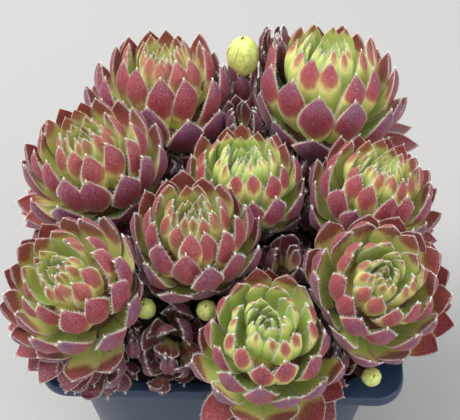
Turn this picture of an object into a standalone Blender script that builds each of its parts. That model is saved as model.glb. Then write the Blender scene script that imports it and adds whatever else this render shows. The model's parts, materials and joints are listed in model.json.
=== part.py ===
"""Hens and chicks: a mound of nine houseleek rosettes, with their young offsets, in a square pot.

Metres, +Z up. The origin is the middle of the pot's underside, and the pot's front faces -Y.
Each rosette is one closed body: thick pointed leaves set round a short stem in a spiral,
joined to the mass of leaf bases in its middle. Its stem stands in a plain hole in the compost.
"""

import math
import random
from typing import NamedTuple

import bmesh
import bpy
from mathutils import Matrix, Vector

MM = 0.001
CLEAR = 0.3 * MM  # what touching pieces keep between them

# The pot: a square nursery pot with round corners and a turned-out lip.
POT_WIDTH = 90 * MM
POT_HEIGHT = 80 * MM
POT_FOOT_WIDTH = 62 * MM
LIP_CORNER = 7.5 * MM
SHOULDER_CORNER = 20 * MM
FOOT_CORNER = 15 * MM
LIP_HEIGHT = 3.2 * MM
LIP_OVERHANG = 3 * MM
POT_WALL = 1.2 * MM
POT_FLOOR = 1.6 * MM
CORNER_STEPS = 4
DRAIN_RADIUS = 3.2 * MM
DRAIN_CIRCLE = 18 * MM
DRAIN_COUNT = 8

# The compost: it fills the pot and rises a little towards the middle.
SOIL_EDGE_DEPTH = 4 * MM
SOIL_RISE = 9 * MM
SOIL_RINGS = (0.85, 0.6, 0.3)

# The stems: each stands in a plain hole in the compost.
STEM_SIDES = 6
HOLE_SIDES = 8
STEM_STEPS = 4
ROSETTE_STEM = (2.1 * MM, 9 * MM)  # radius, and depth in the compost
RUNNER = (0.9 * MM, 7 * MM)
HEAD_HANDLE = 0.45  # how far a stem keeps to its head's axis, as a share of its length
NECK_HANDLE = 0.6  # how far it rises straight from the compost, as a share of its height

# The leaves. Ages run from 0, the youngest leaf in the middle, to 1 at the foot of the ball,
# and on in the skirt of old leaves that hangs below it. Lengths are shares of the rosette's
# radius, heights are from its middle, and a lean is in degrees from its axis, positive outwards.
AGES = (0.0, 0.2, 0.4, 0.6, 0.75, 0.87, 1.0, 1.3)
TIP_OUT = (0.04, 0.25, 0.53, 0.84, 1.03, 1.18, 1.28, 1.12)
TIP_HEIGHT = (0.58, 0.76, 0.74, 0.50, 0.16, -0.22, -0.64, -1.30)
TIP_LEAN = (-5, -24, -26, -16, 2, 34, 84, 145)
BASE_OUT = (0.03, 0.08, 0.13, 0.18, 0.21, 0.23, 0.25, 0.25)
BASE_HEIGHT = (-0.12, -0.26, -0.38, -0.47, -0.53, -0.56, -0.58, -0.62)
BASE_LEAN = (3, 18, 45, 68, 82, 92, 98, 112)
HALF_WIDTH = (0.10, 0.16, 0.22, 0.26, 0.27, 0.27, 0.25, 0.23)
OPENING = (0.0, 0.05, 0.10, 0.12, 0.10, 0.05, 0.0, 0.0)  # how far an open one's tips move out
LEAF_HANDLE = 0.42  # how far the leaf keeps its direction at each end, as a share of its chord

# Along a leaf, from its base to its tip: half width and thickness as shares of the largest.
STATIONS = (0.0, 0.25, 0.5, 0.66, 0.82, 0.93, 1.0)
WIDTH_ALONG = (0.40, 0.60, 0.88, 1.00, 0.80, 0.36, 0.0)
THICK_ALONG = (0.70, 0.90, 1.00, 1.00, 0.80, 0.45, 0.0)
LEAF_THICKNESS = 0.09  # largest, as a share of the rosette's radius
LEAST_THICKNESS = 0.9 * MM
YOUNG_THICKNESS = 0.6  # the youngest leaf's, as a share of a full-grown one's
CUPPING = 0.22  # how far the margins turn in, as a share of the half width
LEAF_SIDES = 3  # a flat inner face, and two outer ones that meet at the keel
LEAF_RINGS = 4
RING_CROWDING = 0.6  # under 1, a leaf's rings crowd towards its tip
CORE_HEIGHT = -0.25
CORE_SQUASH = 0.95

# No two leaves are alike: each differs from the run above by up to this much either way.
TIP_OUT_SPREAD = 0.04  # a share of its own distance
TIP_HEIGHT_SPREAD = 0.03
TIP_LEAN_SPREAD = 6
TURN_SPREAD = 4
ROLL_SPREAD = 7

GOLDEN_TURN = math.radians(137.508)
CROWD_MARGIN = 1.8 * MM  # where a leaf starts to feel the neighbouring rosette
CROWD_LEAST = 0.45  # a leaf with less room than this share of its length doesn't grow
TURN_AGE = 0.8  # from this age on, leaves turn towards the side that the rosette leans to
TURN_SPAN = 0.4  # and this much older they have turned as far as they do:
TURN_SHARE = 0.4  # by this share of the way, on a rosette that leans by TURN_LEAN or more
TURN_LEAN = 12
RUNNER_ROOM = 0.8 * MM  # what leaves leave free round a runner
RIM_CLEAR = 1.0 * MM  # what they leave free over the compost and the lip
RIM_SOFTNESS = 0.8 * MM  # how gently they bend up from it
RIM_FELT = 8  # a point this many times RIM_SOFTNESS above it isn't moved
RIM_SLOPE = 2.5  # how steeply the least height falls outside the lip

SHARP_ANGLE = math.radians(40)  # an edge that turns more than this is shaded sharp

MATERIALS = {
    "pot_plastic": ((0.012, 0.020, 0.034), 0.35),
    "compost": ((0.030, 0.020, 0.013), 0.95),
    "leaf_burgundy": ((0.230, 0.055, 0.070), 0.55),
    "leaf_green": ((0.260, 0.230, 0.070), 0.55),
    "offset_yellow_green": ((0.520, 0.560, 0.230), 0.60),
}


class Head(NamedTuple):
    """A rosette, a young offset, or a clump of a rosette's old leaves lower on its stem: its
    middle (height above the pot's lip) and its radius in millimetres, the way its axis leans
    and how far, in degrees, how many leaves it has, up to what age, and the turn of the first.
    tall stretches it along its axis, opened spreads its tips, broad widens its leaves, and core
    is the size of the mass of leaf bases in it. Its stem stands at root, or a clump's joins the
    core of the head it is part of."""

    name: str
    middle: tuple
    radius: float
    lean_towards: float
    lean: float
    leaves: int
    oldest: float
    turn: float
    root: tuple = ()
    youngest: float = 0.0
    tall: float = 1.0
    opened: float = 0.0
    broad: float = 1.0
    core: float = 0.66
    material: str = "leaf_burgundy"
    stem: tuple = ROSETTE_STEM
    part_of: str = ""


ROSETTES = (
    Head("rosette_back_left", (-19.6, 38.0, 21.0), 21.5, 100, 12, 39, 1.2, 10, (-18, 27)),
    Head("rosette_back_right", (24.5, 40.0, 22.0), 22.5, 75, 13, 39, 1.2, 35, (20, 28)),
    Head("rosette_left", (-34.5, 6.0, 25.5), 19.5, 180, 12, 41, 1.25, 80, (-26, 5)),
    Head("rosette_middle", (3.8, 2.0, 24.0), 17.0, 90, 3, 40, 1.15, 50, (3.8, 2),
         material="leaf_green"),
    Head("rosette_right", (36.5, 2.0, 22.0), 17.5, 10, 10, 40, 1.2, 15, (27, 2)),
    Head("rosette_front_middle", (-7.7, -18.0, 25.0), 17.5, 265, 4, 40, 1.15, 60, (-7, -14),
         tall=1.2),
    Head("rosette_front_left", (-35.0, -31.0, 22.5), 18.5, 215, 24, 43, 1.3, 20, (-25, -24),
         opened=0.1),
    Head("rosette_front_right", (36.0, -29.0, 23.5), 18.5, 300, 21, 42, 1.25, 70, (26, -22),
         opened=0.1),
    Head("rosette_front", (11.0, -41.0, 17.0), 18.0, 262, 10, 42, 1.2, 5, (8, -30),
         opened=0.2, material="leaf_green"),
)
CLUMPS = (
    Head("old_leaves_front", (-12.0, -34.0, 8.5), 12.0, 262, 46, 16, 1.25, 100,
         youngest=0.1, broad=1.3, core=0.45, part_of="rosette_front_middle"),
    Head("old_leaves_middle", (14.8, -16.5, 14.0), 9.5, 300, 15, 10, 0.95, 30,
         youngest=0.15, tall=1.3, broad=1.3, core=0.45, part_of="rosette_front"),
    Head("old_leaves_back", (2.6, 28.5, 17.5), 8.0, 270, 8, 10, 0.9, 60,
         youngest=0.15, tall=1.9, broad=1.4, core=0.4, part_of="rosette_back_left"),
    Head("old_leaves_left", (-30.5, -40.0, 6.5), 10.0, 250, 42, 11, 1.2, 40,
         youngest=0.35, broad=1.3, core=0.45, part_of="rosette_front_left"),
)
OFFSETS = (
    Head("offset_back", (2.4, 44.0, 31.0), 4.9, 90, 10, 5, 1, 0, (3, 38),
         tall=1.35, opened=-2.5, material="offset_yellow_green", stem=RUNNER),
    Head("offset_front_left", (-18.7, -31.0, 15.2), 2.8, 240, 15, 3, 1, 0, (-17.5, -25),
         tall=1.1, opened=-2.5, material="offset_yellow_green", stem=RUNNER),
    Head("offset_front_right", (-3.8, -32.5, 17.2), 2.8, 270, 15, 3, 1, 0, (-3, -24),
         tall=1.1, opened=-2.5, material="offset_yellow_green", stem=RUNNER),
    Head("offset_right", (36.1, -43.5, 7.6), 2.6, 290, 30, 3, 1, 0, (27, -31),
         tall=1.1, opened=-2.5, material="offset_yellow_green", stem=RUNNER),
)
HEADS = ROSETTES + CLUMPS + OFFSETS
RIM_TOP = POT_HEIGHT


def at(keys, values, x):
    """The value at x of the straight runs between the keys."""
    for (x0, x1), (y0, y1) in zip(zip(keys, keys[1:]), zip(values, values[1:])):
        if x <= x1:
            return y0 + (y1 - y0) * (x - x0) / (x1 - x0)
    return values[-1]


def head_matrix(head):
    """Places a head: its own +Z is its axis, and its origin is its middle."""
    x, y, height = head.middle
    towards = Matrix.Rotation(math.radians(head.lean_towards), 4, "Z")
    lean = Matrix.Rotation(math.radians(head.lean), 4, "Y")
    place = Matrix.Translation(Vector((x * MM, y * MM, RIM_TOP + height * MM)))
    return place @ towards @ lean @ towards.inverted()


def soil_height(x, y):
    """The compost's surface at (x, y), which goes on falling outside the pot."""
    share = math.hypot(x, y) / (POT_WIDTH / 2)
    return RIM_TOP - SOIL_EDGE_DEPTH + SOIL_RISE * (1 - share * share)


def core_of(head):
    """The middle of the mass of leaf bases in a head."""
    return head_matrix(head) @ Vector((0, 0, CORE_HEIGHT * head.radius * MM))


def stem_points(head):
    """The run of a head's stem: from its core smoothly down to its foot, upright where it stands
    in the compost. A clump's goes straight to the core of the head it is part of."""
    start = core_of(head)
    for other in HEADS:
        if other.name == head.part_of:
            return [start, core_of(other)]
    axis = head_matrix(head).to_3x3() @ Vector((0, 0, 1))
    x, y = (value * MM for value in head.root)
    soil = soil_height(x, y)
    neck = Vector((x, y, soil))
    under_head = start - axis * (start - neck).length * HEAD_HANDLE
    over_neck = neck + Vector((0, 0, start.z - soil)) * NECK_HANDLE
    controls = (start, under_head, over_neck, neck)
    points = []
    for step in range(STEM_STEPS + 1):
        s = step / STEM_STEPS
        r = 1 - s
        weights = (r**3, 3 * r * r * s, 3 * r * s * s, s**3)
        points.append(sum((w * p for w, p in zip(weights, controls)), Vector()))
    return points + [Vector((x, y, soil - head.stem[1]))]


def walls_of(head):
    """The planes that keep a head's leaves out of its neighbours and of the offsets' runners: a
    point on each, and its way out. Those between two heads stand nearer to the smaller one, and
    there is none between a clump and the head that it is part of."""
    centre = head_matrix(head).translation
    walls = []
    for other in HEADS:
        if other is head or other.name == head.part_of or other.part_of == head.name:
            continue
        gap = head_matrix(other).translation - centre
        share = head.radius / (head.radius + other.radius)
        way = gap.normalized()
        walls.append((centre + gap * share - way * CLEAR / 2, way))
        if other.stem is RUNNER:
            for point in stem_points(other)[1:-1]:
                way = (point - centre).normalized()
                walls.append((point - way * (RUNNER[0] + RUNNER_ROOM), way))
    return walls


def least_height(x, y):
    """The least height that a leaf keeps at (x, y): just over the compost and the pot's lip, and
    falling away outside the lip."""
    inner = POT_WIDTH / 2 - LIP_CORNER
    out_x = max(abs(x) - inner, 0)
    out_y = max(abs(y) - inner, 0)
    outside = max(math.hypot(out_x, out_y) - LIP_CORNER - RIM_CLEAR, 0)
    lip = RIM_TOP - RIM_SLOPE * outside
    return max(lip, soil_height(x, y)) + RIM_CLEAR


def kept_clear(point, walls):
    """The point, eased back from the neighbours' side of each wall and up from the lip."""
    for spot, way in walls:
        beyond = (point - spot).dot(way)
        if beyond > -CROWD_MARGIN:
            eased = -CROWD_MARGIN * math.exp(-(beyond + CROWD_MARGIN) / CROWD_MARGIN)
            point = point + way * (eased - beyond)
    over = (point.z - least_height(point.x, point.y)) / RIM_SOFTNESS
    if over < RIM_FELT:
        point = point.copy()
        point.z += RIM_SOFTNESS * (math.log1p(math.exp(over)) - over)
    return point


def room_for(base, tip, walls):
    """The share of its length that a leaf can grow before its tip meets a neighbour."""
    share = 1.0
    for spot, way in walls:
        base_short = -(base - spot).dot(way)
        reach = (tip - base).dot(way)
        if reach > 0:
            share = min(share, (base_short - CROWD_MARGIN / 2) / reach)
    return share


def leaf_spine(base, tip, base_lean, tip_lean):
    """The four control points, (out, height), of the curve that a leaf's middle follows."""
    chord = math.hypot(tip[0] - base[0], tip[1] - base[1]) * LEAF_HANDLE
    start = (base[0] + chord * math.sin(base_lean), base[1] + chord * math.cos(base_lean))
    end = (tip[0] - chord * math.sin(tip_lean), tip[1] - chord * math.cos(tip_lean))
    return base, start, end, tip


def spine_at(spine, s):
    """The point at s of the spine, and its direction, both as (out, height)."""
    a, b, c, d = spine
    r = 1 - s
    weights = (r**3, 3 * r * r * s, 3 * r * s * s, s**3)
    slopes = (-3 * r * r, 3 * r * r - 6 * r * s, 6 * r * s - 3 * s * s, 3 * s * s)
    point = [sum(w * p[k] for w, p in zip(weights, (a, b, c, d))) for k in (0, 1)]
    way = [sum(w * p[k] for w, p in zip(slopes, (a, b, c, d))) for k in (0, 1)]
    length = math.hypot(*way)
    return point, (way[0] / length, way[1] / length)


def turned_to_light(head, turn, age):
    """The way an old leaf grows, nearer to the open side that its rosette leans to."""
    grown = max(0, min((age - TURN_AGE) / TURN_SPAN, 1))
    share = TURN_SHARE * min(head.lean / TURN_LEAN, 1) * grown
    towards = math.radians(head.lean_towards)
    off = math.remainder(turn - towards, math.tau)
    return towards + off * (1 - share)


def either_way(dice, spread):
    return dice.uniform(-spread, spread)


def leaf_of(head, matrix, walls, index, dice):
    """The mesh of one leaf: a coarse sphere whose poles are its base and tip and whose rings are
    its cross-sections, each with two margins and a keel. It returns None where there is no room."""
    age = head.youngest + (head.oldest - head.youngest) * (index + 0.5) / head.leaves
    radius = head.radius * MM
    tip_out = at(AGES, TIP_OUT, age) + head.opened * at(AGES, OPENING, age)
    base = (at(AGES, BASE_OUT, age) * radius, at(AGES, BASE_HEIGHT, age) * radius)
    tip = (
        tip_out * radius * (1 + either_way(dice, TIP_OUT_SPREAD)),
        (at(AGES, TIP_HEIGHT, age) * head.tall + either_way(dice, TIP_HEIGHT_SPREAD)) * radius,
    )
    base_lean = math.radians(at(AGES, BASE_LEAN, age))
    tip_lean = math.radians(at(AGES, TIP_LEAN, age) + either_way(dice, TIP_LEAN_SPREAD))
    turn = index * GOLDEN_TURN + math.radians(head.turn + either_way(dice, TURN_SPREAD))
    turn = turned_to_light(head, turn, age)
    roll = math.radians(either_way(dice, ROLL_SPREAD))
    frame = matrix @ Matrix.Rotation(turn, 4, "Z")

    room = room_for(
        frame @ Vector((base[0], 0, base[1])), frame @ Vector((tip[0], 0, tip[1])), walls
    )
    if room < CROWD_LEAST:
        return None
    if room < 1:
        tip = tuple(b + (t - b) * room for b, t in zip(base, tip))
    spine = leaf_spine(base, tip, base_lean, tip_lean)
    half_width = at(AGES, HALF_WIDTH, age) * radius * head.broad * math.sqrt(min(room, 1))
    grown = min(YOUNG_THICKNESS + (1 - YOUNG_THICKNESS) * age, 1)
    thickness = max(LEAF_THICKNESS * radius * grown, LEAST_THICKNESS)

    mesh = bmesh.new()
    made = bmesh.ops.create_uvsphere(
        mesh, u_segments=LEAF_SIDES, v_segments=LEAF_RINGS, radius=1
    )
    for vertex in made["verts"]:
        x, y, z = vertex.co
        s = (1 - math.acos(max(-1, min(1, z))) / math.pi) ** RING_CROWDING
        width = half_width * at(STATIONS, WIDTH_ALONG, s)
        across = 0 if abs(x) < 1e-4 else math.copysign(1, -x)
        lift = -CUPPING * width if across else thickness * at(STATIONS, THICK_ALONG, s)
        side = across * width
        (out, height), (way_out, way_up) = spine_at(spine, s)
        lift, side = (
            lift * math.cos(roll) - side * math.sin(roll),
            lift * math.sin(roll) + side * math.cos(roll),
        )
        local = Vector((out + way_up * lift, side, height - way_out * lift))
        vertex.co = kept_clear(frame @ local, walls)
    return mesh


def material_of(name):
    """The named material, made when it is first asked for."""
    if name in bpy.data.materials:
        return bpy.data.materials[name]
    colour, roughness = MATERIALS[name]
    material = bpy.data.materials.new(name)
    material.use_nodes = True
    shader = material.node_tree.nodes["Principled BSDF"]
    shader.inputs["Base Color"].default_value = (*colour, 1)
    shader.inputs["Roughness"].default_value = roughness
    shader.inputs["Metallic"].default_value = 0
    return material


def add_object(name, mesh, group, material=None):
    """A new object from a bmesh, which is freed, in the collection."""
    data = bpy.data.meshes.new(name)
    mesh.to_mesh(data)
    mesh.free()
    obj = bpy.data.objects.new(name, data)
    group.objects.link(obj)
    if material:
        data.materials.append(material_of(material))
    return obj


def add_stem(name, points, radius, group):
    """A round stem along the points, as a closed mesh object."""
    curve = bpy.data.curves.new(name, "CURVE")
    curve.dimensions = "3D"
    curve.bevel_depth = radius
    curve.bevel_resolution = STEM_SIDES // 2 - 2
    curve.use_fill_caps = True
    spline = curve.splines.new("POLY")
    spline.points.add(len(points) - 1)
    for point, place in zip(spline.points, points):
        point.co = (*place, 1)
    tube = bpy.data.objects.new(name, curve)
    group.objects.link(tube)
    graph = bpy.context.evaluated_depsgraph_get()
    data = bpy.data.meshes.new_from_object(tube.evaluated_get(graph))
    mesh = bmesh.new()
    mesh.from_mesh(data)
    bmesh.ops.remove_doubles(mesh, verts=mesh.verts, dist=0.0001 * MM)
    bmesh.ops.recalc_face_normals(mesh, faces=mesh.faces)
    stem = add_object(name, mesh, group)
    stem.matrix_world = tube.matrix_world
    bpy.data.objects.remove(tube)
    return stem


def keep_largest(data):
    """Drops the mesh's sealed hollows and loose scraps: all but the shell with most vertices."""
    mesh = bmesh.new()
    mesh.from_mesh(data)
    shells = []
    seen = set()
    for seed in mesh.verts:
        if seed in seen:
            continue
        seen.add(seed)
        shell = [seed]
        for vertex in shell:
            for edge in vertex.link_edges:
                near = edge.other_vert(vertex)
                if near not in seen:
                    seen.add(near)
                    shell.append(near)
        shells.append(shell)
    shells.sort(key=len)
    loose = [vertex for shell in shells[:-1] for vertex in shell]
    bmesh.ops.delete(mesh, geom=loose, context="VERTS")
    mesh.to_mesh(data)
    mesh.free()


def core_mesh(head):
    """The mass of leaf bases in a head: a coarse ball, stretched as the head is."""
    core = bmesh.new()
    made = bmesh.ops.create_icosphere(core, subdivisions=2, radius=head.core * head.radius * MM)
    middle = Vector((0, 0, CORE_HEIGHT * head.radius * MM))
    matrix = head_matrix(head)
    for vertex in made["verts"]:
        vertex.co.z *= CORE_SQUASH * head.tall
        vertex.co = matrix @ (vertex.co + middle)
    return core


def add_head_pieces(head, pieces):
    """A head's leaves and stem, as loose objects in the collection."""
    dice = random.Random(HEADS.index(head))
    matrix = head_matrix(head)
    walls = walls_of(head)
    for index in range(head.leaves):
        leaf = leaf_of(head, matrix, walls, index, dice)
        if leaf:
            add_object(f"{head.name}_leaf_{index}", leaf, pieces)
    add_stem(head.name + "_stem", stem_points(head), head.stem[0], pieces)


def add_head(head, group):
    """A rosette or offset, with its stem and any clump of its old leaves, as one body."""
    pieces = bpy.data.collections.new(head.name + "_pieces")
    bpy.context.scene.collection.children.link(pieces)
    add_head_pieces(head, pieces)
    for clump in CLUMPS:
        if clump.part_of == head.name:
            add_head_pieces(clump, pieces)
            add_object(clump.name + "_core", core_mesh(clump), pieces)
    body = add_object(head.name, core_mesh(head), group, head.material)
    joined = body.modifiers.new("joined", "BOOLEAN")
    joined.operation = "UNION"
    joined.operand_type = "COLLECTION"
    joined.collection = pieces
    joined.solver = "MANIFOLD"
    bpy.context.view_layer.update()
    graph = bpy.context.evaluated_depsgraph_get()
    united = bpy.data.meshes.new_from_object(body.evaluated_get(graph))
    body.modifiers.clear()
    body.data = united
    keep_largest(united)
    for piece in list(pieces.objects):
        bpy.data.objects.remove(piece)
    bpy.data.collections.remove(pieces)
    return body


def square_ring(width, corner, z):
    """The points of a square outline with round corners, anticlockwise from +X."""
    points = []
    for quarter in range(4):
        facing = Matrix.Rotation(math.radians(90 * quarter), 3, "Z")
        middle = Vector((width / 2 - corner, width / 2 - corner, z))
        for step in range(CORNER_STEPS + 1):
            angle = math.radians(90 * step / CORNER_STEPS)
            spot = middle + Vector((math.cos(angle), math.sin(angle), 0)) * corner
            points.append(facing @ spot)
    return points


def loft(mesh, rings):
    """Joins the rings, each a list of as many points, in order, and closes both ends."""
    made = [[mesh.verts.new(point) for point in ring] for ring in rings]
    for lower, upper in zip(made, made[1:]):
        for k in range(len(lower)):
            after = (k + 1) % len(lower)
            mesh.faces.new((lower[k], lower[after], upper[after], upper[k]))
    mesh.faces.new(made[0][::-1])
    mesh.faces.new(made[-1])


def body_size(z):
    """The width and corner radius of the pot's outside at height z, below its lip."""
    share = z / (POT_HEIGHT - LIP_HEIGHT)
    shoulder = POT_WIDTH - 2 * LIP_OVERHANG
    return (
        POT_FOOT_WIDTH + (shoulder - POT_FOOT_WIDTH) * share,
        FOOT_CORNER + (SHOULDER_CORNER - FOOT_CORNER) * share,
    )


def inside_ring(z, clear=0.0):
    """The outline of the pot's inside at height z, or of what lies that far clear of it."""
    width, corner = body_size(z)
    return square_ring(width - 2 * (POT_WALL + clear), corner - POT_WALL - clear, z)


def cutter(name, places, radius, low, high, group):
    """One object of upright round cutters, each at its (x, y)."""
    mesh = bmesh.new()
    for x, y in places:
        bmesh.ops.create_cone(
            mesh, cap_ends=True, segments=HOLE_SIDES, radius1=radius, radius2=radius,
            depth=high - low,
            matrix=Matrix.Translation((x, y, (low + high) / 2)),
        )
    obj = add_object(name, mesh, group)
    obj.hide_render = True
    obj.display_type = "WIRE"
    return obj


def cut(obj, by):
    """Takes the cutter out of the object."""
    hole = obj.modifiers.new(by.name, "BOOLEAN")
    hole.operation = "DIFFERENCE"
    hole.object = by


def add_pot(group, cutters):
    """The pot: its outside from the foot up over the lip, then its inside down to the floor."""
    under_lip = POT_HEIGHT - LIP_HEIGHT
    rings = [
        square_ring(*body_size(0), 0),
        square_ring(*body_size(under_lip), under_lip),
        square_ring(POT_WIDTH, LIP_CORNER, under_lip),
        square_ring(POT_WIDTH, LIP_CORNER, POT_HEIGHT),
        inside_ring(POT_HEIGHT),
        inside_ring(POT_FLOOR),
    ]
    mesh = bmesh.new()
    loft(mesh, rings)
    pot = add_object("pot", mesh, group, "pot_plastic")
    angles = [math.tau * (k + 0.5) / DRAIN_COUNT for k in range(DRAIN_COUNT)]
    places = [(DRAIN_CIRCLE * math.cos(a), DRAIN_CIRCLE * math.sin(a)) for a in angles]
    cut(pot, cutter("drain_cutter", places, DRAIN_RADIUS, -POT_FLOOR, 2 * POT_FLOOR, cutters))
    return pot


def add_compost(group, cutters):
    """The compost: a block that fits the pot, domed on top, with a hole for each stem."""
    edge = RIM_TOP - SOIL_EDGE_DEPTH
    rings = [inside_ring(POT_FLOOR + CLEAR, CLEAR), inside_ring(edge, CLEAR)]
    for share in SOIL_RINGS:
        ring = [(point.x * share, point.y * share) for point in rings[1]]
        rings.append([Vector((x, y, soil_height(x, y))) for x, y in ring])
    mesh = bmesh.new()
    loft(mesh, rings)
    compost = add_object("compost", mesh, group, "compost")
    for head in ROSETTES + OFFSETS:
        place = (head.root[0] * MM, head.root[1] * MM)
        radius, depth = head.stem
        soil = soil_height(*place)
        name = head.name + "_hole"
        low = soil - depth - CLEAR
        cut(compost, cutter(name, [place], radius + CLEAR, low, RIM_TOP + SOIL_RISE, cutters))
    return compost


def main():
    for obj in list(bpy.data.objects):
        bpy.data.objects.remove(obj)
    group = bpy.data.collections.new("hens_and_chicks")
    cutters = bpy.data.collections.new("cutters")
    bpy.context.scene.collection.children.link(group)
    bpy.context.scene.collection.children.link(cutters)
    add_pot(group, cutters)
    add_compost(group, cutters)
    for head in ROSETTES + OFFSETS:
        body = add_head(head, group)
        body.data.shade_smooth()
        body.data.set_sharp_from_angle(angle=SHARP_ANGLE)


main()
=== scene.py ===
"""Hens and chicks: nine houseleek rosettes and their young offsets, in a square nursery pot.

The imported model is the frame. Every rosette is grown again here with the same spiral, leaf
curves and room between neighbours, with rounder leaves, their colours and their hairs.
Metres, +Z up, and the pot's front faces -Y.
"""

import json
import math
import random
from typing import NamedTuple

import bmesh
import bpy
from bpy.props import FloatProperty, FloatVectorProperty, IntProperty, PointerProperty
from mathutils import Matrix, Vector, noise


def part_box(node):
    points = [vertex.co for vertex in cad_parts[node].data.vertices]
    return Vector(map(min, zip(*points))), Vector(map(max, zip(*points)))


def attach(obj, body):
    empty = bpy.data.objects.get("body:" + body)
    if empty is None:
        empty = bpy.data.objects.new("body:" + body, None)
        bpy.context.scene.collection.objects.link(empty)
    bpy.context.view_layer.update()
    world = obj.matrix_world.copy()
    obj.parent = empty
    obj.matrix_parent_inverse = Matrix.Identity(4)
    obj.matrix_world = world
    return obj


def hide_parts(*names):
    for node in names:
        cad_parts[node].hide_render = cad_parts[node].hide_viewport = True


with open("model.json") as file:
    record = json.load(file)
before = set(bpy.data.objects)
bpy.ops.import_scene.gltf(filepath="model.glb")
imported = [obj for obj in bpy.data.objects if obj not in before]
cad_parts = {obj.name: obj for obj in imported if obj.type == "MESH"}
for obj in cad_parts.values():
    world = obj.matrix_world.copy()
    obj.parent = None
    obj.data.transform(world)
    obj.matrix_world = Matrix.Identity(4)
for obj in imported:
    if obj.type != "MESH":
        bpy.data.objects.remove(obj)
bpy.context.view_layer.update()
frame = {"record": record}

bl_info = {
    "name": "Hens and Chicks",
    "version": (1, 0, 0),
    "blender": (4, 5, 0),
    "location": "3D View > Sidebar > Houseleeks",
    "description": "Grows a pot of houseleek rosettes round the packed model",
    "category": "Add Mesh",
}

MM = 0.001
CLEAR = 0.3 * MM  # between pieces that stand in or beside each other

# The pot and the compost, as the solids have them.
POT_LOW, POT_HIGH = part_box("pot")
POT_WIDTH = POT_HIGH.x - POT_LOW.x
POT_HEIGHT = POT_HIGH.z - POT_LOW.z
RIM_TOP = POT_HEIGHT
POT_FOOT_WIDTH = 62 * MM
LIP_CORNER = 7.5 * MM
SHOULDER_CORNER = 20 * MM
FOOT_CORNER = 15 * MM
LIP_HEIGHT = 3.2 * MM
LIP_OVERHANG = 3 * MM
POT_WALL = 1.2 * MM
POT_FLOOR = 1.6 * MM
LIP_ROUND = 0.7 * MM
FOOT_BEVEL = 0.5 * MM
FOOT_BEVEL_HEIGHT = 0.6 * MM
CORNER_STEPS = 10
ROUND_STEPS = 4
SHARP_ANGLE = math.radians(35)
DRAIN_RADIUS = 3.2 * MM
DRAIN_CIRCLE = 18 * MM
DRAIN_COUNT = 8
SOIL_EDGE_DEPTH = 4 * MM
SOIL_RISE = 9 * MM
SOIL_RINGS = (0.96, 0.9, 0.82, 0.74, 0.66, 0.58, 0.5, 0.42, 0.34, 0.26, 0.18, 0.1, 0.04)
SOIL_BUMPS = ((400, 0.5), (1100, 0.3))  # bumps a metre, and their height in millimetres
CRUMB_REACH = 39 * MM
CRUMB_SIZE = (0.4, 1.2)

# The stems: radius, and depth in the compost. The room kept round a stem is measured from its
# four coarse steps, as in the solids, and its tube has more.
STEM_STEPS = 4
TUBE_STEPS = 10
ROSETTE_STEM = (2.1 * MM, 9 * MM)
RUNNER = (0.9 * MM, 7 * MM)
HEAD_HANDLE = 0.45
NECK_HANDLE = 0.6

# A leaf's run with its age, from 0, the youngest, to 1 at the foot of the ball, and on in the
# skirt that hangs below it. Lengths are shares of the rosette's radius, leans are in degrees.
AGES = (0.0, 0.2, 0.4, 0.6, 0.75, 0.87, 1.0, 1.3)
TIP_OUT = (0.04, 0.25, 0.53, 0.84, 1.03, 1.18, 1.28, 1.12)
TIP_HEIGHT = (0.58, 0.76, 0.74, 0.50, 0.16, -0.22, -0.64, -1.30)
TIP_LEAN = (-5, -24, -26, -16, 2, 34, 84, 145)
BASE_OUT = (0.03, 0.08, 0.13, 0.18, 0.21, 0.23, 0.25, 0.25)
BASE_HEIGHT = (-0.12, -0.26, -0.38, -0.47, -0.53, -0.56, -0.58, -0.62)
BASE_LEAN = (3, 18, 45, 68, 82, 92, 98, 112)
HALF_WIDTH = (0.08, 0.13, 0.18, 0.22, 0.235, 0.24, 0.23, 0.21)
OPENING = (0.0, 0.05, 0.10, 0.12, 0.10, 0.05, 0.0, 0.0)
LEAF_HANDLE = 0.42

# Along a leaf, from its base to its tip, which is drawn out to a point.
STATIONS = (0, 0.12, 0.25, 0.38, 0.5, 0.6, 0.68, 0.76, 0.83, 0.89, 0.94, 0.975, 1)
WIDTH_ALONG = (0.50, 0.55, 0.65, 0.80, 0.94, 1.0, 0.99, 0.93, 0.79, 0.57, 0.31, 0.12, 0)
THICK_ALONG = (0.70, 0.80, 0.90, 0.96, 1.0, 1.0, 1.0, 0.94, 0.80, 0.62, 0.42, 0.22, 0)
LEAF_THICKNESS = 0.09
LEAST_THICKNESS = 0.9 * MM
YOUNG_THICKNESS = 0.6
CUPPING = 0.22
KEEL_ROUNDNESS = 0.75
MARGIN_CURL = 1.6
HOLLOW = 0.45
ROSETTE_LEAF_FACES = (12, 13)
BUD_LEAF_FACES = (20, 18)
TIP_CROWDING = 1.5
CORE_SHARE = 0.5
CORE_HEIGHT = -0.25
CORE_SQUASH = 0.95

# The leaves that the solids go without. TUCK is how far they reach, as a share of what the
# others reach.
TUCK = 0.97
CROWN_AGE = 0.32
CROWN_CROWDING = 1.3
SKIRT_AGES = (0.98, 1.40)
SKIRT_TURN = 1.0
CLUMP_AGES = (0.93, 0.22)  # the youngest, and the span up to 1
OLD_GREEN = -0.1  # old leaves are redder than the rest

# A young offset's leaves: controls of the spine as shares of its radius and its height.
BUD_LEAVES = 6
BUD_SPINE = ((0.15, -0.75), (0.95, -0.60), (0.95, 0.62))
BUD_TIP = 0.07
BUD_TOPS = (0.90, 0.10)
BUD_HALF_WIDTH = 0.72
BUD_THICKNESS = 0.15
BUD_AGE = 0.2

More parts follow.
